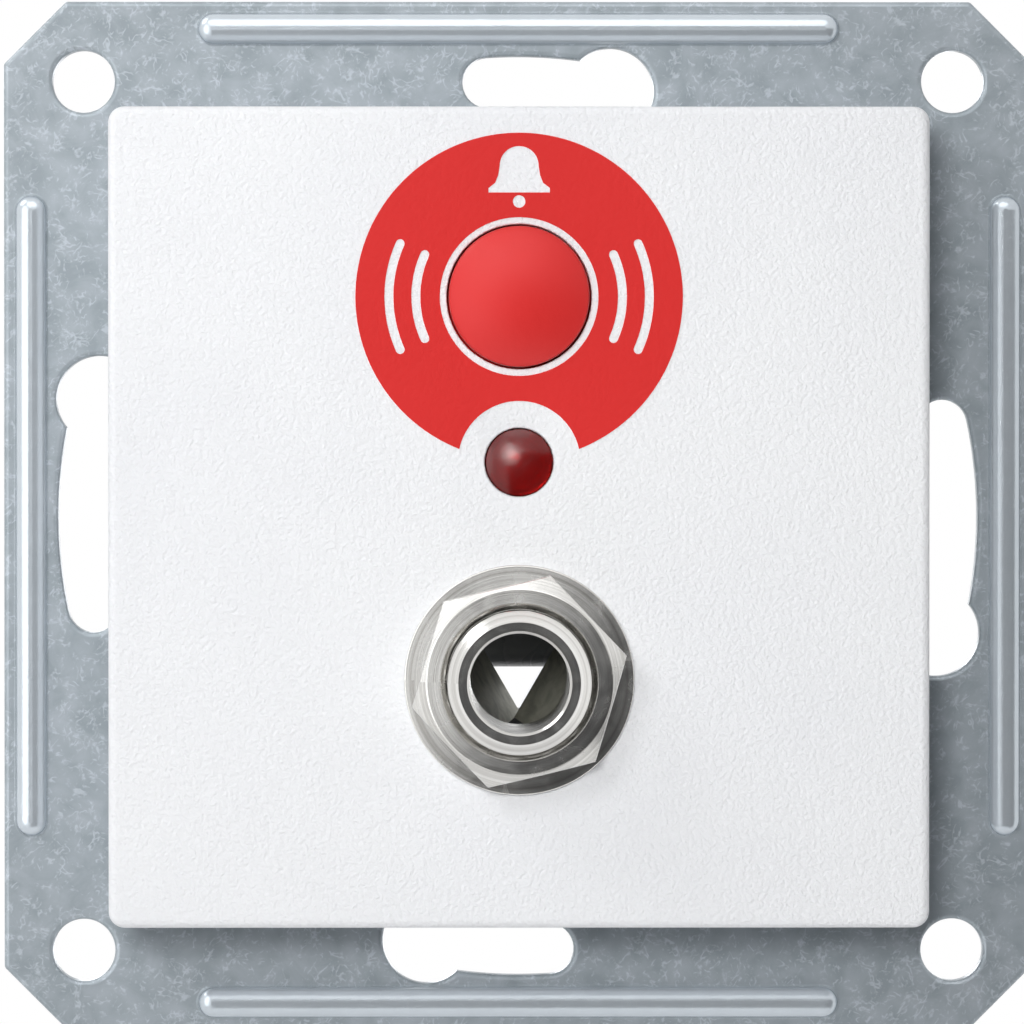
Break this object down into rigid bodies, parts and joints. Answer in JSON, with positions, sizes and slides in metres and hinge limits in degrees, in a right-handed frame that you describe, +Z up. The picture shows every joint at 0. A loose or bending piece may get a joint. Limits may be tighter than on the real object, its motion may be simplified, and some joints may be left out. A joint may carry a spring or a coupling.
{
  "type": "nurse call button",
  "caption": "Flush-mounted nurse call button: white plate on a galvanised frame, red push button, red lamp and a jack socket, wired at the back.",
  "frame": {"origin": "centre of the four corner screw holes, on the back face of the support frame, which lies on the wall", "axes": "+Z up the wall, +X to the right for a person in front, +Y into the wall, so the front faces -Y"},
  "size_m": [0.071, 0.0333, 0.071],
  "materials": {
    "galvanised_sheet": "hot-dip galvanised, fine spangle and scuffs",
    "white_plate": "spark-eroded matt white",
    "red_print": "flat printed red",
    "red_button": "satin red",
    "red_lens": "clear red moulding",
    "nickel_plate": "turned and nickel plated",
    "contact_strip": "nickel silver strip",
    "carrier_plastic": "dark grey moulding",
    "housing_plastic": "pale grey moulding",
    "board_laminate": "green solder resist on glass-fibre laminate",
    "switch_plastic": "black moulding",
    "bright_steel": "zinc plated",
    "spring_wire": "drawn spring wire",
    "tinned_metal": "tinned",
    "lamp_resin": "tinted resin",
    "resistor_lacquer": "beige lacquer with rings",
    "diode_resin": "black resin with one ring",
    "terminal_plastic": "grey moulding",
    "brass_clamp": "plated brass"
  },
  "bodies": {
    "insert": {"support_frame": "galvanised_sheet", "central_plate": "white_plate", "call_symbol": "red_print", "return_spring": "spring_wire", "switch_base": "switch_plastic", "switch_cover": "bright_steel", "switch_dome": "bright_steel", "switch_legs": "tinned_metal", "indicator_lens": "red_lens", "indicator_led": "lamp_resin", "led_legs": "tinned_metal", "circuit_board": "board_laminate", "board_resistors": "resistor_lacquer", "board_diodes": "diode_resin", "board_screws": "bright_steel", "insert_housing": "housing_plastic", "jack_bushing": "nickel_plate", "jack_washer": "nickel_plate", "jack_nut": "nickel_plate", "jack_ground_tag": "tinned_metal", "jack_carrier": "carrier_plastic", "jack_ring_spring": "contact_strip", "jack_tip_spring": "contact_strip", "terminal_block": "terminal_plastic", "terminal_clamps": "brass_clamp", "terminal_screws": "bright_steel", "terminal_pins": "tinned_metal"},
    "call_button": {"button_cap": "red_button", "switch_plunger": "switch_plastic"}
  },
  "joints": [
    {"name": "button_press", "type": "slide", "parent": "insert", "child": "call_button", "axis": [0, 1, 0], "range_m": [0, 0.0008], "stiffness_N_per_m": 1200, "springref_m": -0.0008, "deforming": ["return_spring"]}
  ]
}
